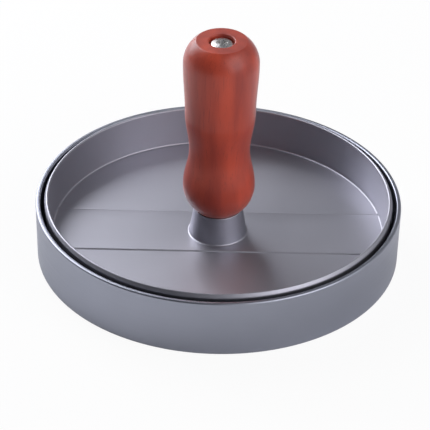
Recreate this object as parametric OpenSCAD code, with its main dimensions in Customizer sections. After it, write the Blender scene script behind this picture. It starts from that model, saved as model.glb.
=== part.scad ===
// Burger press: a shallow round mould, and a loose press plate with a turned wooden handle.
// The origin is the centre of the mould's underside, Z is up, and the ribs run along X.
// At rest the press plate stands on the mould's floor, on the ribs that mark the patty.

/* [Mould] */
// Outer diameter of the mould at its rim
mould_d = 120; // [90:1:160]
// Height of the mould
mould_h = 20; // [16:0.5:30]
// Thickness of the mould's wall
mould_wall = 1.6; // [1.2:0.1:2.4]
// Thickness of the mould's floor
mould_floor = 2; // [1.5:0.1:3.5]
// How far the mould's wall leans in between its rim and its underside
mould_draft = 0.5; // [0:0.1:2]
// Radius of the edge round the mould's underside
mould_edge_r = 1; // [0.5:0.1:3]
// Radius of the fillet where the mould's wall meets its floor
mould_fillet_r = 1.5; // [0.5:0.1:3]

/* [Press plate] */
// Gap all round between the press plate and the mould's wall at the rim
press_gap = 1.1; // [0.8:0.1:2.5]
// Depth of the press plate, from its rim to its floor
press_depth = 13.4; // [10:0.2:20]
// Thickness of the press plate's wall
press_wall = 1.4; // [1.2:0.1:2.4]
// Thickness of the press plate's floor
press_floor = 3; // [2:0.1:4.5]
// How far the press plate's wall leans in between its rim and its floor
press_draft = 1.2; // [0.6:0.1:2.4]
// Radius of the fillet where the press plate's wall meets its floor
press_fillet_r = 0.6; // [0.4:0.1:3]
// Radius of the edge round the press plate's underside
press_edge_r = 2; // [1:0.1:3]

/* [Ribs and grooves] */
// Height of the ribs under the press plate
rib_h = 2.8; // [1.5:0.1:4]
// Width of a rib at its tip
rib_tip_w = 2; // [1:0.1:3]
// Width of a rib where it leaves the plate
rib_root_w = 3.2; // [2:0.1:5]
// Distance from one rib to the next
rib_pitch = 12; // [8:0.5:20]
// Distance between the two grooves across the press plate's floor
groove_pitch = 23.6; // [23:0.2:40]
// How far the middle of the two grooves lies in front of the boss
groove_shift = 0.8; // [0:0.1:1.2]
// Width of a groove at the floor
groove_w = 0.9; // [0.6:0.1:2]
// Depth of the front groove
front_groove_depth = 0.5; // [0.2:0.1:1]
// Depth of the back groove, which is fainter
back_groove_depth = 0.1; // [0.1:0.1:1]

/* [Boss] */
// Height of the boss above the press plate's floor
boss_h = 9.5; // [7:0.5:16]
// Diameter of the boss at its top
boss_top_d = 15.9; // [15:0.1:17]
// Diameter of the boss at its foot, without its fillet
boss_foot_d = 19; // [17:0.1:20]
// Radius of the fillet round the boss's foot
boss_fillet_r = 0.6; // [0.5:0.1:1.2]

/* [Handle] */
// Length of the handle
handle_l = 62.6; // [50:0.2:90]
// Widest diameter of the handle, near its top
handle_head_d = 24.6; // [23:0.1:30]
// Diameter of the flat on the handle's top
handle_top_d = 16.6; // [14:0.1:18]
// Diameter of the handle where the grip turns in towards the waist
handle_grip_d = 23; // [20:0.1:28]
// Diameter of the handle's waist
handle_waist_d = 19.8; // [14:0.1:23]
// Diameter of the bulb above the handle's end
handle_bulb_d = 23.6; // [19:0.1:30]
// Diameter of the handle's lower end, which stands on the boss
handle_end_d = 15; // [11:0.1:15]

/* [Screw] */
// Diameter of the screw's shank
screw_d = 4; // [3:0.5:5]
// Diameter of the screw's head
screw_head_d = 7.8; // [6.5:0.1:8]
// Height of the screw's head
screw_head_h = 2.6; // [2:0.1:3.2]
// How far the screw is screwed into the boss
screw_grip = 6.4; // [5:0.2:7]
// Diameter of the recess for the screw's head in the handle's top
recess_d = 8.4; // [8.2:0.1:11]
// Depth of the recess for the screw's head
recess_depth = 3; // [2.6:0.1:8]
// Diameter of the hole through the handle
handle_bore_d = 4.6; // [3.2:0.1:6]

/* [Hidden] */

// Fineness of round holes and of the steps along a curved outline
$fn = 96;
arc_step = 15;
curve_steps = 9;
// How far every cut runs past the surface that it leaves
overrun = 1;
// Gap between the ribs' tips and the mould's floor at rest
seat_gap = 0.1;
// Gap round the screw's thread in the boss, and below the screw's tip
thread_gap = 0.05;
tip_gap = 1.6;
// Rounding of the rims, as shares of their wall: the mould's, and the press plate's outside and inside
rim_round_share = 0.38;
press_outer_share = 0.7;
press_inner_share = 0.25;
// Rounding of the boss's and the recess's mouths
mouth_round = 0.4;
// Heights along the handle, as shares of its length
bulb_share = 0.142;
waist_share = 0.356;
grip_share = 0.582;
head_share = 0.872;
// Screw: chamfer of its tip, crown and rounded edge of its head, and its cross recess
screw_tip_chamfer = 0.5;
crown_share = 0.16;
head_edge_share = 0.45;
cross_span_share = 0.58;
cross_w_share = 0.14;
cross_depth_share = 0.55;

// Levels
rib_tip_z = mould_floor + seat_gap;
press_under_z = rib_tip_z + rib_h;
press_floor_z = press_under_z + press_floor;
press_rim_z = press_floor_z + press_depth;
boss_top_z = press_floor_z + boss_h;
handle_top_z = boss_top_z + handle_l;
recess_z = handle_top_z - recess_depth;
screw_tip_z = boss_top_z - screw_grip;
thread_end_z = screw_tip_z - tip_gap;

// Radii of the two walls at the rim and at the underside
mould_rim_r = mould_d / 2;
mould_foot_r = mould_rim_r - mould_draft;
press_rim_r = mould_rim_r - mould_wall - press_gap;
press_lean = press_draft / press_depth;
press_foot_r = press_rim_r - press_lean * (press_rim_z - press_under_z);
rib_reach_r = press_foot_r - press_edge_r;
rib_count = floor((rib_reach_r - rib_root_w) / rib_pitch);

// Unit vector from one point to another in the plane
function toward(a, b) = let (d = [b[0] - a[0], b[1] - a[1]]) d / norm(d);

// Points along an arc from one angle to another
function arc(centre, r, from, to) = let (n = max(2, ceil(abs(to - from) / arc_step)))
    [for (i = [0 : n]) let (a = from + (to - from) * i / n) centre + r * [cos(a), sin(a)]];

// A corner at b, between a and c, rounded off to the radius in its third place
function corner(a, b, c) = let (point = [b[0], b[1]]) b[2] == 0 ? [point] :
    let (u = toward(b, a), v = toward(b, c),
         half = acos(u * v) / 2,
         centre = point + (u + v) / norm(u + v) * b[2] / sin(half),
         spoke = point + u * b[2] / tan(half) - centre,
         from = atan2(spoke[1], spoke[0]),
         turn = (2 * half - 180) * sign(cross(u, v)))
    arc(centre, b[2], from, from + turn);

// A closed outline from corners [across, up, radius]
function rounded(c) = [for (i = [0 : len(c) - 1])
    each corner(c[(i + len(c) - 1) % len(c)], c[i], c[(i + 1) % len(c)])];

// The mould: a shallow cup with a slightly leaning wall and a rounded rim
module mould() {
    rim_round = mould_wall * rim_round_share;
    lean = mould_draft / mould_h;
    corner_r = mould_rim_r + lean * rim_round;
    color("#9a9ea8")
        rotate_extrude()
            polygon(rounded([
                [0, 0, 0],
                [mould_foot_r, 0, mould_edge_r],
                [corner_r, mould_h, rim_round],
                [corner_r - mould_wall, mould_h, rim_round],
                [corner_r - mould_wall - lean * (mould_h - mould_floor), mould_floor, mould_fillet_r],
                [0, mould_floor, 0]
            ]));
}

// Half outline of the press plate: floor, rim wall and boss in one casting
function press_outline() = rounded([
    [0, press_under_z, 0],
    [press_foot_r, press_under_z, press_edge_r],
    [press_rim_r, press_rim_z, press_wall * press_outer_share],
    [press_rim_r - press_wall, press_rim_z, press_wall * press_inner_share],
    [press_rim_r - press_wall - press_draft, press_floor_z, press_fillet_r],
    [boss_foot_d / 2, press_floor_z, boss_fillet_r],
    [boss_top_d / 2, boss_top_z, mouth_round],
    [0, boss_top_z, 0]
]);

// The ribs under the press plate, cut off round at their ends
module ribs() {
    intersection() {
        for (i = [-rib_count : rib_count])
            translate([0, i * rib_pitch, 0])
                rotate([90, 0, 90])
                    linear_extrude(2 * rib_reach_r, center = true)
                        polygon([
                            [-rib_tip_w / 2, rib_tip_z],
                            [rib_tip_w / 2, rib_tip_z],
                            [rib_root_w / 2, press_under_z],
                            [rib_root_w / 2, press_under_z + press_floor / 2],
                            [-rib_root_w / 2, press_under_z + press_floor / 2],
                            [-rib_root_w / 2, press_under_z]
                        ]);
        cylinder(h = press_floor_z, r = rib_reach_r);
    }
}

// The two grooves across the floor, from wall to wall
module grooves() {
    intersection() {
        for (groove = [[-1, front_groove_depth], [1, back_groove_depth]])
            translate([0, groove[0] * groove_pitch / 2 - groove_shift, press_floor_z])
                rotate([90, 0, 90])
                    linear_extrude(2 * press_rim_r, center = true)
                        polygon([[-groove_w / 2, 0], [0, -groove[1]], [groove_w / 2, 0], [0, overrun]]);
        cylinder(h = press_rim_z, r = press_rim_r - press_wall - press_draft);
    }
}

// The blind hole for the screw, with a countersunk mouth and a drill point
module thread_hole() {
    r = screw_d / 2 + thread_gap;
    translate([0, 0, thread_end_z])
        cylinder(h = boss_top_z - thread_end_z + overrun, r = r);
    translate([0, 0, boss_top_z - mouth_round])
        cylinder(h = mouth_round, r1 = r, r2 = r + mouth_round);
    translate([0, 0, thread_end_z - r * tan(30)])
        cylinder(h = r * tan(30), r1 = 0, r2 = r);
}

// The press plate: a cast dish with ribs below, two grooves above and a boss for the handle
module press_plate() {
    color("#a3a5b0")
        difference() {
            union() {
                rotate_extrude()
                    polygon(press_outline());
                ribs();
            }
            grooves();
            thread_hole();
        }
}

// Radius of the handle at a height above its end, eased from one named radius to the next
function eased(from, to, t) = from + (to - from) * (1 - cos(180 * t)) / 2;
function ease_points(h0, r0, h1, r1) = [for (i = [1 : curve_steps])
    let (t = i / curve_steps) [eased(r0, r1, t), h0 + (h1 - h0) * t]];

// Points on the arc from a narrow end to the widest place, where it runs along the handle
function end_arc(h, narrow_r, wide_r) =
    let (d = wide_r - narrow_r, r = (h * h + d * d) / (2 * d), reach = asin(h / r))
    [for (i = [0 : curve_steps]) let (a = reach * (1 - i / curve_steps))
        [wide_r - r + r * cos(a), h - r * sin(a)]];

function handle_outline() =
    let (bulb_h = handle_l * bulb_share, waist_h = handle_l * waist_share,
         grip_h = handle_l * grip_share, head_h = handle_l * head_share,
         head = end_arc(handle_l - head_h, handle_top_d / 2, handle_head_d / 2))
    concat(
        [[0, 0]],
        end_arc(bulb_h, handle_end_d / 2, handle_bulb_d / 2),
        ease_points(bulb_h, handle_bulb_d / 2, waist_h, handle_waist_d / 2),
        ease_points(waist_h, handle_waist_d / 2, grip_h, handle_grip_d / 2),
        ease_points(grip_h, handle_grip_d / 2, head_h, handle_head_d / 2),
        [for (i = [curve_steps - 1 : -1 : 0]) [head[i][0], handle_l - head[i][1]]],
        [[0, handle_l]]
    );

// The handle: turned wood, bored through, with a recess in its top for the screw's head
module handle() {
    color("#a4493b")
        difference() {
            translate([0, 0, boss_top_z])
                rotate_extrude()
                    polygon(handle_outline());
            translate([0, 0, boss_top_z - overrun])
                cylinder(h = handle_l, d = handle_bore_d);
            translate([0, 0, recess_z])
                cylinder(h = recess_depth + overrun, d = recess_d);
            translate([0, 0, handle_top_z - mouth_round])
                cylinder(h = mouth_round + overrun, d1 = recess_d, d2 = recess_d + 2 * (mouth_round + overrun));
        }
}

// Half outline of the screw's pan head and straight shank
function screw_outline() =
    let (head_r = screw_head_d / 2, head_top_z = recess_z + screw_head_h, crown_h = screw_head_h * crown_share)
    rounded([
        [0, screw_tip_z, 0],
        [screw_d / 2 - screw_tip_chamfer, screw_tip_z, 0],
        [screw_d / 2, screw_tip_z + screw_tip_chamfer, 0],
        [screw_d / 2, recess_z, 0],
        [head_r, recess_z, 0],
        [head_r, head_top_z - crown_h, screw_head_h * head_edge_share],
        [head_r / 2, head_top_z - crown_h / 4, 0],
        [0, head_top_z, 0]
    ]);

// The screw that holds the handle: a pan head with a cross recess, and its long shank
module handle_screw() {
    color("#d4d6d8")
        difference() {
            rotate_extrude()
                polygon(screw_outline());
            for (a = [0, 90])
                rotate([0, 0, a])
                    translate([-screw_head_d * cross_span_share / 2, -screw_head_d * cross_w_share / 2,
                               recess_z + screw_head_h * (1 - cross_depth_share)])
                        cube([screw_head_d * cross_span_share, screw_head_d * cross_w_share,
                              screw_head_h * cross_depth_share + overrun]);
        }
}

mould();
press_plate();
handle();
handle_screw();
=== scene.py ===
import math

import bmesh
import bpy
from mathutils import Matrix, Vector


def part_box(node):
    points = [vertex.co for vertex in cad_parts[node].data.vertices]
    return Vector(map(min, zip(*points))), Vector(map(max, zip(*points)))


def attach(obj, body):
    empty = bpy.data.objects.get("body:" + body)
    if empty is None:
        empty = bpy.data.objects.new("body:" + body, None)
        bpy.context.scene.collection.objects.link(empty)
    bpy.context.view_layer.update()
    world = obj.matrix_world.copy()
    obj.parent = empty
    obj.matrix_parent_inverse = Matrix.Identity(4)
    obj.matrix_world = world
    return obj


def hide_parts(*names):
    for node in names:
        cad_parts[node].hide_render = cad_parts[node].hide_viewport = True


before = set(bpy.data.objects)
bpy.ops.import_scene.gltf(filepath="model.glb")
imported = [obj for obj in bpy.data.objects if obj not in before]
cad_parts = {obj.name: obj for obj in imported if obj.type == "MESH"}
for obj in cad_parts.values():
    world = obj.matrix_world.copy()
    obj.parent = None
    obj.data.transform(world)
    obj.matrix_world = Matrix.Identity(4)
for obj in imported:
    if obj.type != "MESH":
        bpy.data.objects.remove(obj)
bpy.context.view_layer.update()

# Lengths below are in millimetres, and MM turns them to metres
MM = 0.001

# Mould, as in the frame
MOULD_WALL = 1.6
MOULD_FLOOR = 2.0
MOULD_DRAFT = 0.5
MOULD_EDGE_R = 1.0
MOULD_FILLET_R = 1.5
MOULD_RIM_ROUND = 0.6

# Press plate, as in the frame but for its lip and the small round of the boss's top
PLATE_DEPTH = 13.4
PLATE_WALL = 1.4
PLATE_FLOOR = 3.0
PLATE_DRAFT = 1.2
PLATE_EDGE_R = 2.0
PLATE_FILLET_R = 0.6
BOSS_H = 9.5
BOSS_TOP_D = 15.9
BOSS_FOOT_D = 19.0
BOSS_FILLET_R = 0.6
BOSS_TOP_ROUND = 0.25
TAPPED_D = 4.1
TAPPED_DEPTH = 8.0
DRILL_POINT_ANGLE = math.radians(30)

# The plate's lip: its outer side slopes in by the width over the height
PLATE_LIP_W = 0.7
PLATE_LIP_H = 1.2
PLATE_LIP_R = 1.2
PLATE_RIM_OUTER_R = 0.4
PLATE_RIM_INNER_R = 0.5

# Ribs under the plate, whose slope ends a little inside its floor
RIB_H = 2.8
RIB_TIP_W = 2.0
RIB_ROOT_W = 3.2
RIB_TIP_ROUND = 0.4
RIB_PITCH = 12.0
RIB_COUNT = 9
RIB_SINK = 0.01

# Grooves on the plate: place along Y, width and depth of each, and the rounding of its edges
GROOVES = ((-12.6, 0.9, 0.5), (11.0, 0.9, 0.08))
GROOVE_LIP_R = 0.2
GROOVE_LIP_DROP = 0.02
GROOVE_BOTTOM_R = 0.12

# Handle: heights are shares of its length
HANDLE_HEIGHTS = {"bulb": 0.142, "waist": 0.356, "grip": 0.582, "head": 0.872}
HANDLE_DIAMETERS = {"end": 15.0, "bulb": 23.6, "waist": 19.8, "grip": 23.0, "head": 24.6, "top": 16.6}
HANDLE_TOP_ROUND = 0.5
RECESS_D = 8.4
RECESS_DEPTH = 3.0
RECESS_LIP_R = 0.4
HANDLE_BORE_D = 4.6

# Screw: an M4 pan head with a slightly crowned top
SCREW_D = 4.0
SCREW_HEAD_D = 7.8
SCREW_HEAD_H = 2.6
SCREW_HEAD_EDGE_R = 1.17
SCREW_HEAD_FOOT_R = 0.15
SCREW_CROWN_H = 0.42
SCREW_CROWN_SHARES = (0.7, 0.5, 0.35, 0.2, 0.1)     # places on the crown, as shares of its radius
SCREW_PITCH = 0.7
SCREW_THREAD_DEPTH = 0.38
SCREW_THREAD_L = 16.0
SCREW_TIP_CHAMFER = 0.5

# Cross recess: its two arms taper from above the head to their foot, as shares of span and width
CROSS_SPAN = 4.4
CROSS_W = 1.1
CROSS_DEPTH = 1.5
CROSS_MOUTH_SHARES = (1.25, 1.2)
CROSS_FOOT_SHARES = (0.35, 0.7)
CROSS_CORNERS = ((1, 1), (-1, 1), (-1, -1), (1, -1))

# Fineness of the meshes
STEPS_LARGE = 288
STEPS_HANDLE = 192
STEPS_SCREW = 72
THREAD_RINGS = 10        # in one turn of the thread
ARC_STEP = math.radians(9)
EASE_STEPS = 28

# Making of the meshes
OVERRUN = 1.0            # how far a cutting tool reaches past what it cuts
BAR_REACH = 3            # length of a bar before it is cut round, in radii
NEW_MERGE = 1e-4         # points closer than this are one in a new mesh
FINISHED_MERGE = 1e-3    # and in a finished one, where cuts may leave some nearly together
SHARP_ANGLE = math.radians(35)
BROAD_FACE_WEIGHT = 90

# Most of a noise texture's values lie between these
NOISE_LOW = 0.3
NOISE_HIGH = 0.7

# Camera, fitted to the ellipses of the rims
PHOTO_W = 430
SENSOR_W = 36
FOCAL_PIXELS = 3011.7
CAMERA_AT = (-0.16, -829.3, 558.9)
CAMERA_TARGET = (-1.03, 0, 13.823)
CAMERA_ROLL = 0.021
CAMERA_CLIP = 10

# Softboxes: name, azimuth and elevation in degrees, distance, size, strength where 1 is white, and colour
LAMPS = (("key", -38, 28, 700, (560, 600), 4.6, "#f8f9ff"),
         ("fill", 131, 31, 900, (700, 800), 2.1, "#f9f7fc"),
         ("side", 94, 28, 900, (600, 700), 0.5, "#fdfcff"),
         ("high", -62, 54, 700, (280, 280), 2.6, "#f8f9ff"))
LAMP_TARGET = (0, 0, 20)

# Floor: its radius, how far its hole stays inside the mould's flat underside, and how much of it is plain
# white to the camera and to reflections
FLOOR_R = 4000
FLOOR_HOLE_MARGIN = 0.5
FLOOR_SEEN_WHITE = 0.93
FLOOR_MIRRORED_WHITE = 0.05

# The room turns from its left tone to its right tone between these places across
ROOM_LEFT = -0.4
ROOM_RIGHT = 0.6

WHITE = (1, 1, 1, 1)


def levels(name):
    """Lowest and highest level of a CAD node, in millimetres."""
    low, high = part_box(name)
    return low.z / MM, high.z / MM


def reach(name):
    """Half the width of a round CAD node, in millimetres."""
    low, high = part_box(name)
    return (high.x - low.x) / 2 / MM


# Outlines

def arc(centre, radius, start, turn):
    """Points along an arc from a start angle, through a turn."""
    count = max(3, math.ceil(abs(turn) / ARC_STEP))
    angles = [start + turn * i / count for i in range(count + 1)]
    return [centre + radius * Vector((math.cos(a), math.sin(a))) for a in angles]


def rounded(corners):
    """An outline from corners (across, up, radius), each rounded to its radius."""
    points = []
    for i, (across, up, radius) in enumerate(corners):
        here = Vector((across, up))
        if radius == 0:
            points.append(here)
            continue
        before = Vector(corners[i - 1][:2]) - here
        after = Vector(corners[(i + 1) % len(corners)][:2]) - here
        u, v = before.normalized(), after.normalized()
        half = math.acos(u.dot(v)) / 2
        centre = here + (u + v).normalized() * radius / math.sin(half)
        spoke = here + u * radius / math.tan(half) - centre
        turn = (2 * half - math.pi) * math.copysign(1, u.x * v.y - u.y * v.x)
        points += arc(centre, radius, math.atan2(spoke.y, spoke.x), turn)
    return points


def eased(low, high):
    """Points from one (radius, height) to the next, level at both ends."""
    points = []
    for i in range(1, EASE_STEPS + 1):
        t = i / EASE_STEPS
        swing = (1 - math.cos(math.pi * t)) / 2
        points.append(Vector((low[0] + (high[0] - low[0]) * swing, low[1] + (high[1] - low[1]) * t)))
    return points


def end_arc(height, narrow_r, wide_r):
    """Points on the arc from a narrow end up to the widest place, where it runs along the handle."""
    step = wide_r - narrow_r
    radius = (height * height + step * step) / (2 * step)
    sweep = math.asin(height / radius)
    angles = [sweep * (1 - i / EASE_STEPS) for i in range(EASE_STEPS + 1)]
    return [Vector((wide_r - radius + radius * math.cos(a), height - radius * math.sin(a))) for a in angles]


# Meshes

def new_piece(name, bm):
    """Makes an object of a bmesh, with its faces turned outwards."""
    bmesh.ops.remove_doubles(bm, verts=bm.verts, dist=NEW_MERGE * MM)
    bmesh.ops.recalc_face_normals(bm, faces=bm.faces)
    mesh = bpy.data.meshes.new(name)
    bm.to_mesh(mesh)
    bm.free()
    piece = bpy.data.objects.new(name, mesh)
    bpy.context.scene.collection.objects.link(piece)
    return piece


def ring(bm, radius_at, height, steps):
    """One ring of vertices, or a single one on the axis."""
    if radius_at(0) == 0:
        return [bm.verts.new((0, 0, height * MM))]
    verts = []
    for i in range(steps):
        angle = 2 * math.pi * i / steps
        r = radius_at(angle) * MM
        verts.append(bm.verts.new((r * math.cos(angle), r * math.sin(angle), height * MM)))
    return verts


def skin(bm, rings, loop=False):
    """Joins each ring to the next with faces, and in a loop the last to the first."""
    following = rings[1:] + rings[:1] if loop else rings[1:]
    for a, b in zip(rings, following):
        n = max(len(a), len(b))
        for i in range(n):
            j = (i + 1) % n
            if len(a) == 1:
                bm.faces.new((a[0], b[i], b[j]))
            elif len(b) == 1:
                bm.faces.new((a[i], b[0], a[j]))
            else:
                bm.faces.new((a[i], b[i], b[j], a[j]))


def block(bm, ends):
    """A solid between two flat ends with as many corners each."""
    skin(bm, ends)
    for end in ends:
        bm.faces.new(end)


def turned(name, outline, steps, loop=False):
    """A piece turned on a lathe: its outline swept round the axis."""
    bm = bmesh.new()
    rings = [ring(bm, lambda _, r=p.x: r, p.y, steps) for p in outline]
    skin(bm, rings, loop)
    return new_piece(name, bm)


def disc(radius, low, high):
    """A plain round tool between two levels."""
    corners = ((0, low), (radius, low), (radius, high), (0, high))
    return turned("disc", [Vector(corner) for corner in corners], STEPS_LARGE)


def bars(name, profile, ys, length):
    """Straight bars along X with one profile (y, z), at several places along Y."""
    bm = bmesh.new()
    for y in ys:
        ends = []
        for x in (-length / 2, length / 2):
            ends.append([bm.verts.new((x * MM, (y + p.x) * MM, p.y * MM)) for p in profile])
        block(bm, ends)
    return new_piece(name, bm)


def combine(piece, tool, operation):
    """Cuts the piece with a tool, joins the two or keeps what they share, and removes the tool."""
    change = piece.modifiers.new("combine", "BOOLEAN")
    change.operation = operation
    change.solver = "EXACT"
    change.object = tool
    settle(piece)
    bpy.data.objects.remove(tool)


def settle(piece):
    """Applies the piece's modifiers to its mesh."""
    bpy.context.view_layer.update()
    shaped = piece.evaluated_get(bpy.context.evaluated_depsgraph_get())
    mesh = bpy.data.meshes.new_from_object(shaped)
    piece.modifiers.clear()
    piece.data = mesh


def smooth(piece):
    """Rounds the shading off over all but the sharp edges, and keeps broad faces flat."""
    bm = bmesh.new()
    bm.from_mesh(piece.data)
    bmesh.ops.remove_doubles(bm, verts=bm.verts, dist=FINISHED_MERGE * MM)
    bmesh.ops.dissolve_degenerate(bm, edges=bm.edges, dist=FINISHED_MERGE * MM)
    bm.to_mesh(piece.data)
    bm.free()
    piece.data.shade_smooth()
    piece.data.set_sharp_from_angle(angle=SHARP_ANGLE)
    weigh = piece.modifiers.new("broad faces first", "WEIGHTED_NORMAL")
    weigh.keep_sharp = True
    weigh.weight = BROAD_FACE_WEIGHT


def place(piece, node, body, material):
    """Puts a finished piece in its CAD node's stead."""
    piece.data.materials.clear()
    piece.data.materials.append(material)
    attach(piece, body)
    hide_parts(node)


# Finishes

def linear(code):
    """The linear colour of an sRGB hex value."""
    parts = [int(code[i:i + 2], 16) / 255 for i in (1, 3, 5)]
    return [p / 12.92 if p <= 0.04045 else ((p + 0.055) / 1.055) ** 2.4 for p in parts] + [1]


def add(tree, kind, inputs=None, **settings):
    """Adds a node. An input's value is a plain value or the socket that feeds it."""
    new = tree.nodes.new(kind)
    for name, value in settings.items():
        setattr(new, name, value)
    for key, value in (inputs or {}).items():
        if isinstance(value, bpy.types.NodeSocket):
            tree.links.new(value, new.inputs[key])
        else:
            new.inputs[key].default_value = value
    return new


def bare_tree(owner):
    """The emptied node tree of a material or a world."""
    owner.use_nodes = True
    owner.node_tree.nodes.clear()
    return owner.node_tree


def new_material(name):
    """A material, its empty node tree, and the socket that gives places on the piece in metres."""
    material = bpy.data.materials.new(name)
    tree = bare_tree(material)
    return material, tree, add(tree, "ShaderNodeTexCoord").outputs["Object"]


def per_length(across, along):
    """What turns metres into pattern lengths, for a pattern of one size across and one along the axis."""
    return [1 / (across * MM)] * 2 + [1 / (along * MM)]


def turned_aluminium():
    """Spun aluminium, turned on a lathe: satin, with fine rings that draw streaks in the light."""
    ring_height = 0.45     # real turning marks are about 0.1 mm, which is too fine to show
    ring_length = 40.0
    cloud = 22.0           # slow changes of tone
    material, tree, at = new_material("turned aluminium")
    stretched = add(tree, "ShaderNodeVectorMath", {0: at, 1: per_length(ring_length, ring_height)},
                    operation="MULTIPLY")
    streaks = add(tree, "ShaderNodeTexNoise", {
        "Vector": stretched.outputs[0], "Scale": 1.0, "Detail": 3.0, "Roughness": 0.6})
    clouds = add(tree, "ShaderNodeTexNoise", {"Vector": at, "Scale": 1 / (cloud * MM), "Detail": 2.0})
    tones = add(tree, "ShaderNodeMix", {
        "Factor": clouds.outputs["Fac"], "A": linear("#9fa2ad"), "B": linear("#abaeb9")}, data_type="RGBA")
    streaked = add(tree, "ShaderNodeMapRange", {
        "Value": streaks.outputs["Fac"], "From Min": NOISE_LOW, "From Max": NOISE_HIGH,
        "To Min": 0.3, "To Max": 0.4})
    bump = add(tree, "ShaderNodeBump", {
        "Height": streaks.outputs["Fac"], "Strength": 0.25, "Distance": 0.02 * MM})
    tangent = add(tree, "ShaderNodeTangent", direction_type="RADIAL", axis="Z")
    shader = add(tree, "ShaderNodeBsdfPrincipled", {
        "Base Color": tones.outputs[2], "Metallic": 1.0, "Roughness": streaked.outputs[0],
        "Anisotropic": 0.15, "Anisotropic Rotation": 0.25,
        "Normal": bump.outputs[0], "Tangent": tangent.outputs[0]})
    add(tree, "ShaderNodeOutputMaterial", {"Surface": shader.outputs[0]})
    return material


def satin_aluminium():
    """Cast aluminium, machined and then satin blasted: soft, blurred reflections with a fine grit."""
    grit = 0.5             # real grit is about 0.05 mm, which is too fine to show
    cloud = 30.0           # slow changes of tone and blur
    material, tree, at = new_material("satin aluminium")
    grains = add(tree, "ShaderNodeTexNoise", {"Vector": at, "Scale": 1 / (grit * MM), "Detail": 2.0})
    clouds = add(tree, "ShaderNodeTexNoise", {"Vector": at, "Scale": 1 / (cloud * MM), "Detail": 3.0})
    tones = add(tree, "ShaderNodeMix", {
        "Factor": clouds.outputs["Fac"], "A": linear("#a8a8b1"), "B": linear("#b4b4bc")}, data_type="RGBA")
    blur = add(tree, "ShaderNodeMapRange", {
        "Value": clouds.outputs["Fac"], "From Min": NOISE_LOW, "From Max": NOISE_HIGH,
        "To Min": 0.41, "To Max": 0.48})
    bump = add(tree, "ShaderNodeBump", {
        "Height": grains.outputs["Fac"], "Strength": 0.08, "Distance": 0.02 * MM})
    shader = add(tree, "ShaderNodeBsdfPrincipled", {
        "Base Color": tones.outputs[2], "Metallic": 1.0, "Roughness": blur.outputs[0],
        "Normal": bump.outputs[0]})
    add(tree, "ShaderNodeOutputMaterial", {"Surface": shader.outputs[0]})
    return material


def stained_beech():
    """Turned beech, stained red-brown under satin lacquer: even colour, faint grain, pale soft highlights."""
    pore = 0.5             # real pores are under 0.1 mm wide, which is too fine to show
    pore_length = 9.0
    figure = 7.0           # broad paler and darker bands along the grain
    figure_length = 42.0
    material, tree, at = new_material("stained beech")
    along = add(tree, "ShaderNodeVectorMath", {0: at, 1: per_length(pore, pore_length)},
                operation="MULTIPLY")
    pores = add(tree, "ShaderNodeTexNoise", {
        "Vector": along.outputs[0], "Scale": 1.0, "Detail": 3.0, "Roughness": 0.6})
    wide = add(tree, "ShaderNodeVectorMath", {0: at, 1: per_length(figure, figure_length)},
               operation="MULTIPLY")
    bands = add(tree, "ShaderNodeTexNoise", {"Vector": wide.outputs[0], "Scale": 1.0, "Detail": 2.0})
    share = add(tree, "ShaderNodeMapRange", {
        "Value": bands.outputs["Fac"], "From Min": NOISE_LOW, "From Max": NOISE_HIGH,
        "To Min": 0.0, "To Max": 1.0})
    base = add(tree, "ShaderNodeMix", {
        "Factor": share.outputs[0], "A": linear("#963427"), "B": linear("#ca4d33")}, data_type="RGBA")
    dark = add(tree, "ShaderNodeMapRange", {
        "Value": pores.outputs["Fac"], "From Min": 0.55, "From Max": 0.75, "To Min": 0.0, "To Max": 0.45})
    colour = add(tree, "ShaderNodeMix", {
        "Factor": dark.outputs[0], "A": base.outputs[2], "B": linear("#7a2c22")}, data_type="RGBA")
    bump = add(tree, "ShaderNodeBump", {
        "Height": pores.outputs["Fac"], "Strength": 0.1, "Distance": 0.05 * MM})
    shader = add(tree, "ShaderNodeBsdfPrincipled", {
        "Base Color": colour.outputs[2], "Roughness": 0.55, "IOR": 1.5, "Specular IOR Level": 0.2,
        "Coat Weight": 0.75, "Coat Roughness": 0.32, "Coat IOR": 1.5,
        "Sheen Weight": 0.2, "Sheen Roughness": 0.35, "Sheen Tint": linear("#ffe6e4"),
        "Normal": bump.outputs[0]})
    add(tree, "ShaderNodeOutputMaterial", {"Surface": shader.outputs[0]})
    return material


def plated_steel():
    """Nickel-plated steel: bright, nearly a mirror, with a little haze."""
    haze = 1.5             # faint patches in the plating
    material, tree, at = new_material("plated steel")
    patches = add(tree, "ShaderNodeTexNoise", {"Vector": at, "Scale": 1 / (haze * MM), "Detail": 2.0})
    blur = add(tree, "ShaderNodeMapRange", {
        "Value": patches.outputs["Fac"], "From Min": NOISE_LOW, "From Max": NOISE_HIGH,
        "To Min": 0.24, "To Max": 0.34})
    shader = add(tree, "ShaderNodeBsdfPrincipled", {
        "Base Color": linear("#d9d8d6"), "Metallic": 1.0, "Roughness": blur.outputs[0]})
    add(tree, "ShaderNodeOutputMaterial", {"Surface": shader.outputs[0]})
    return material


# Pieces

def make_mould():
    """The mould: a shallow cup with a leaning wall and a rounded rim."""
    low, high = levels("mould")
    rim_r = reach("mould")
    lean = MOULD_DRAFT / (high - low)
    foot_r = rim_r - MOULD_DRAFT
    corner_r = rim_r + lean * MOULD_RIM_ROUND
    floor = low + MOULD_FLOOR
    outline = rounded([
        (0, low, 0),
        (foot_r, low, MOULD_EDGE_R),
        (corner_r, high, MOULD_RIM_ROUND),
        (corner_r - MOULD_WALL, high, MOULD_RIM_ROUND),
        (corner_r - MOULD_WALL - lean * (high - floor), floor, MOULD_FILLET_R),
        (0, floor, 0)])
    piece = turned("mould_cup", outline, STEPS_LARGE)
    smooth(piece)
    place(piece, "mould", "mould", turned_aluminium())


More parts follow.
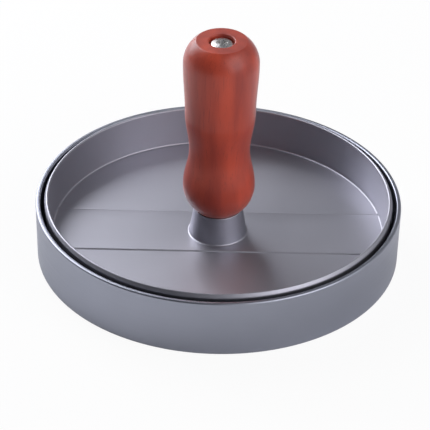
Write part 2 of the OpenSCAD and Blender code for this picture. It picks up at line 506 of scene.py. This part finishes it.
def plate_foot_r(under, rim):
    """Radius of the corner under the press plate, before it is rounded."""
    return reach("press_plate") - PLATE_DRAFT / PLATE_DEPTH * (rim - under)


def plate_outline(rib_tip, rim):
    """Outline of the press plate: floor, rim wall, boss and tapped hole in one casting."""
    under = rib_tip + RIB_H
    floor = under + PLATE_FLOOR
    boss_top = floor + BOSS_H
    rim_r = reach("press_plate")
    hole_r = TAPPED_D / 2
    hole_end = boss_top - TAPPED_DEPTH
    return rounded([
        (0, under, 0),
        (plate_foot_r(under, rim), under, PLATE_EDGE_R),
        (rim_r, rim - PLATE_LIP_H, PLATE_LIP_R),
        (rim_r - PLATE_LIP_W, rim, PLATE_RIM_OUTER_R),
        (rim_r - PLATE_WALL, rim, PLATE_RIM_INNER_R),
        (rim_r - PLATE_WALL - PLATE_DRAFT, floor, PLATE_FILLET_R),
        (BOSS_FOOT_D / 2, floor, BOSS_FILLET_R),
        (BOSS_TOP_D / 2, boss_top, BOSS_TOP_ROUND),
        (hole_r + BOSS_TOP_ROUND, boss_top, 0),
        (hole_r, boss_top - BOSS_TOP_ROUND, 0),
        (hole_r, hole_end, 0),
        (0, hole_end - hole_r * math.tan(DRILL_POINT_ANGLE), 0)])


def rib_outline(rib_tip):
    """Outline of one rib: rounded tip, sloping sides and a root inside the plate's floor."""
    under = rib_tip + RIB_H
    root = under + PLATE_FLOOR / 2
    return rounded([
        (-RIB_TIP_W / 2, rib_tip, RIB_TIP_ROUND),
        (RIB_TIP_W / 2, rib_tip, RIB_TIP_ROUND),
        (RIB_ROOT_W / 2, under + RIB_SINK, 0),
        (RIB_ROOT_W / 2, root, 0),
        (-RIB_ROOT_W / 2, root, 0),
        (-RIB_ROOT_W / 2, under + RIB_SINK, 0)])


def groove_outline(floor, width, depth):
    """Outline of the tool that cuts one groove: a V with a rounded bottom and rounded edges."""
    lip = width / 2 + GROOVE_LIP_R
    return rounded([
        (-lip - OVERRUN, floor + OVERRUN, 0),
        (-lip, floor, 0),
        (-width / 2, floor - GROOVE_LIP_DROP, GROOVE_LIP_R),
        (0, floor - depth, GROOVE_BOTTOM_R),
        (width / 2, floor - GROOVE_LIP_DROP, GROOVE_LIP_R),
        (lip, floor, 0),
        (lip + OVERRUN, floor + OVERRUN, 0)])


def make_press_plate():
    """The press plate: a cast dish with ribs below, two grooves above and the handle's boss."""
    rib_tip, rim = levels("press_plate")
    under = rib_tip + RIB_H
    floor = under + PLATE_FLOOR
    rib_reach = plate_foot_r(under, rim) - PLATE_EDGE_R
    inner_r = reach("press_plate") - PLATE_WALL - PLATE_DRAFT
    piece = turned("press_dish", plate_outline(rib_tip, rim), STEPS_LARGE)

    half = (RIB_COUNT - 1) / 2
    places = [(i - half) * RIB_PITCH for i in range(RIB_COUNT)]
    ribs = bars("ribs", rib_outline(rib_tip), places, BAR_REACH * rib_reach)
    combine(ribs, disc(rib_reach, rib_tip - OVERRUN, rim), "INTERSECT")
    combine(piece, ribs, "UNION")

    for y, width, depth in GROOVES:
        tool = bars("groove", groove_outline(floor, width, depth), [y], BAR_REACH * inner_r)
        combine(tool, disc(inner_r, under, rim), "INTERSECT")
        combine(piece, tool, "DIFFERENCE")
    smooth(piece)
    place(piece, "press_plate", "press", satin_aluminium())


def make_handle():
    """The handle: turned wood with a bulb, a waist, a slow taper, a shoulder and a recess for the screw."""
    end, top = levels("handle")
    length = top - end
    radii = {name: d / 2 for name, d in HANDLE_DIAMETERS.items()}
    spots = {name: (radii[name], length * share) for name, share in HANDLE_HEIGHTS.items()}
    side = end_arc(spots["bulb"][1], radii["end"], radii["bulb"])
    side += eased(spots["bulb"], spots["waist"])
    side += eased(spots["waist"], spots["grip"])
    side += eased(spots["grip"], spots["head"])
    shoulder = end_arc(length - spots["head"][1], radii["top"], radii["head"])
    side += [Vector((p.x, length - p.y)) for p in reversed(shoulder[1:-1])]
    bore_r = HANDLE_BORE_D / 2
    recess_r = RECESS_D / 2
    recess = length - RECESS_DEPTH
    crown = rounded([
        (side[-1].x, side[-1].y, 0),
        (radii["top"], length, HANDLE_TOP_ROUND),
        (recess_r, length, RECESS_LIP_R),
        (recess_r, recess, 0),
        (bore_r, recess, 0),
        (bore_r, 0, 0)])
    outline = [Vector((p.x, p.y + end)) for p in side[:-1] + crown]
    piece = turned("turned_handle", outline, STEPS_HANDLE, loop=True)
    smooth(piece)
    place(piece, "handle", "press", stained_beech())


def thread_r(angle, height, tip):
    """Radius of the thread, a V that fades into the shank above and is cut by the tip's chamfer below."""
    shank_r = SCREW_D / 2
    turn = height / SCREW_PITCH - angle / (2 * math.pi)
    ridge = 1 - abs(2 * (turn % 1) - 1)
    fade = min(1, (tip + SCREW_THREAD_L - height) / SCREW_PITCH)
    point = max(0, SCREW_TIP_CHAMFER - (height - tip))
    return min(shank_r - SCREW_THREAD_DEPTH * (1 - ridge) * max(0, fade), shank_r - point)


def cross_arm(top, turn):
    """The tool for one arm of the cross recess, turned about the screw's axis."""
    spin = Matrix.Rotation(turn, 4, "Z")
    bm = bmesh.new()
    ends = []
    for height, shares in ((top + OVERRUN, CROSS_MOUTH_SHARES), (top - CROSS_DEPTH, CROSS_FOOT_SHARES)):
        span, width = CROSS_SPAN * shares[0], CROSS_W * shares[1]
        ends.append([bm.verts.new(spin @ Vector((x * span / 2 * MM, y * width / 2 * MM, height * MM)))
                     for x, y in CROSS_CORNERS])
    block(bm, ends)
    return new_piece("cross_arm", bm)


def make_screw():
    """The screw: a pan head with a cross recess, a plain shank and an M4 thread at its end."""
    tip, top = levels("handle_screw")
    seat = top - SCREW_HEAD_H
    head_r = SCREW_HEAD_D / 2
    shank_r = SCREW_D / 2

    bm = bmesh.new()
    rings = [ring(bm, lambda _: 0, tip, 1)]
    count = round(SCREW_THREAD_L / SCREW_PITCH * THREAD_RINGS)
    for i in range(count + 1):
        height = tip + SCREW_THREAD_L * i / count
        rings.append(ring(bm, lambda a, h=height: thread_r(a, h, tip), height, STEPS_SCREW))
    crown = [(head_r * t, top - SCREW_CROWN_H * t * t, 0) for t in SCREW_CROWN_SHARES]
    head = rounded([
        (shank_r, tip + SCREW_THREAD_L, 0),
        (shank_r, seat, 0),
        (head_r, seat, SCREW_HEAD_FOOT_R),
        (head_r, top - SCREW_CROWN_H, SCREW_HEAD_EDGE_R)] + crown)[1:]
    rings += [ring(bm, lambda _, r=p.x: r, p.y, STEPS_SCREW) for p in head]
    rings.append(ring(bm, lambda _: 0, top, 1))
    skin(bm, rings)
    piece = new_piece("cross_screw", bm)

    for turn in (0, math.pi / 2):
        combine(piece, cross_arm(top, turn), "DIFFERENCE")
    smooth(piece)
    place(piece, "handle_screw", "press", plated_steel())


# Studio

def look_at(obj, place_mm, target_mm, roll=0.0):
    """Puts a camera or a lamp somewhere, turned to its target."""
    away = (Vector(place_mm) - Vector(target_mm)) * MM
    obj.matrix_world = (Matrix.Translation(Vector(place_mm) * MM)
                        @ away.to_track_quat("Z", "Y").to_matrix().to_4x4()
                        @ Matrix.Rotation(roll, 4, "Z"))


def around(azimuth, elevation, distance, target):
    """A place round a target: azimuth 0 is behind it, 90 to its right, in degrees and millimetres."""
    a, e = math.radians(azimuth), math.radians(elevation)
    flat = distance * math.cos(e)
    return (target[0] + flat * math.sin(a), target[1] + flat * math.cos(a),
            target[2] + distance * math.sin(e))


def make_camera():
    """The photograph's camera."""
    lens = bpy.data.cameras.new("camera")
    lens.sensor_width = SENSOR_W
    lens.lens = SENSOR_W * FOCAL_PIXELS / PHOTO_W
    lens.clip_start = CAMERA_CLIP * MM
    camera = bpy.data.objects.new("camera", lens)
    bpy.context.scene.collection.objects.link(camera)
    look_at(camera, CAMERA_AT, CAMERA_TARGET, CAMERA_ROLL)
    bpy.context.scene.camera = camera


def softbox(name, azimuth, elevation, distance, size, strength, colour):
    """A softbox that glows at a strength, where 1 is white, and lights the object."""
    lamp = bpy.data.lights.new(name, "AREA")
    lamp.shape = "RECTANGLE"
    lamp.size, lamp.size_y = size[0] * MM, size[1] * MM
    lamp.energy = strength * math.pi * lamp.size * lamp.size_y
    lamp.color = linear(colour)[:3]
    box = bpy.data.objects.new(name, lamp)
    bpy.context.scene.collection.objects.link(box)
    look_at(box, around(azimuth, elevation, distance, LAMP_TARGET), LAMP_TARGET)


def make_floor():
    """A pale floor that shows white, with the object's faint shadow.

    It is open under the mould and clear from below, so that the underside can be seen too."""
    hole_r = reach("mould") - MOULD_DRAFT - MOULD_EDGE_R - FLOOR_HOLE_MARGIN
    floor = turned("floor", [Vector((hole_r, 0)), Vector((FLOOR_R, 0))], STEPS_LARGE)
    if floor.data.polygons[0].normal.z < 0:
        floor.data.flip_normals()
    material = bpy.data.materials.new("pale floor")
    tree = bare_tree(material)
    path = add(tree, "ShaderNodeLightPath").outputs
    mirrored = add(tree, "ShaderNodeMath", {0: path["Is Glossy Ray"], 1: path["Is Transmission Ray"]},
                   operation="MAXIMUM")
    glow = add(tree, "ShaderNodeMath", {0: mirrored.outputs[0], 1: FLOOR_MIRRORED_WHITE},
               operation="MULTIPLY")
    share = add(tree, "ShaderNodeMath", {0: path["Is Camera Ray"], 1: FLOOR_SEEN_WHITE, 2: glow.outputs[0]},
                operation="MULTIPLY_ADD")
    lit = add(tree, "ShaderNodeBsdfDiffuse", {"Color": linear("#f6f6f6")})
    white = add(tree, "ShaderNodeEmission", {"Color": WHITE, "Strength": 1.0})
    both = add(tree, "ShaderNodeMixShader", {0: share.outputs[0], 1: lit.outputs[0], 2: white.outputs[0]})
    below = add(tree, "ShaderNodeNewGeometry").outputs["Backfacing"]
    clear = add(tree, "ShaderNodeBsdfTransparent")
    sided = add(tree, "ShaderNodeMixShader", {0: below, 1: both.outputs[0], 2: clear.outputs[0]})
    add(tree, "ShaderNodeOutputMaterial", {"Surface": sided.outputs[0]})
    floor.data.materials.append(material)


def make_world():
    """The studio: white to the camera alone, and a room that is dim on the left and paler on the right."""
    world = bpy.data.worlds.new("studio")
    bpy.context.scene.world = world
    tree = bare_tree(world)
    to = add(tree, "ShaderNodeTexCoord").outputs["Generated"]
    right = add(tree, "ShaderNodeSeparateXYZ", {0: to}).outputs["X"]
    share = add(tree, "ShaderNodeMapRange", {
        "Value": right, "From Min": ROOM_LEFT, "From Max": ROOM_RIGHT, "To Min": 0.0, "To Max": 1.0},
        interpolation_type="SMOOTHSTEP")
    room = add(tree, "ShaderNodeMix", {
        "Factor": share.outputs[0], "A": linear("#46474c"), "B": linear("#98999c")}, data_type="RGBA")
    seen = add(tree, "ShaderNodeLightPath").outputs["Is Camera Ray"]
    shown = add(tree, "ShaderNodeMix", {"Factor": seen, "A": room.outputs[2], "B": WHITE}, data_type="RGBA")
    ground = add(tree, "ShaderNodeBackground", {"Color": shown.outputs[2], "Strength": 1.0})
    add(tree, "ShaderNodeOutputWorld", {"Surface": ground.outputs[0]})


make_mould()
make_press_plate()
make_handle()
make_screw()
make_camera()
make_floor()
make_world()
for lamp in LAMPS:
    softbox(*lamp)

bpy.context.scene.view_settings.view_transform = "Standard"
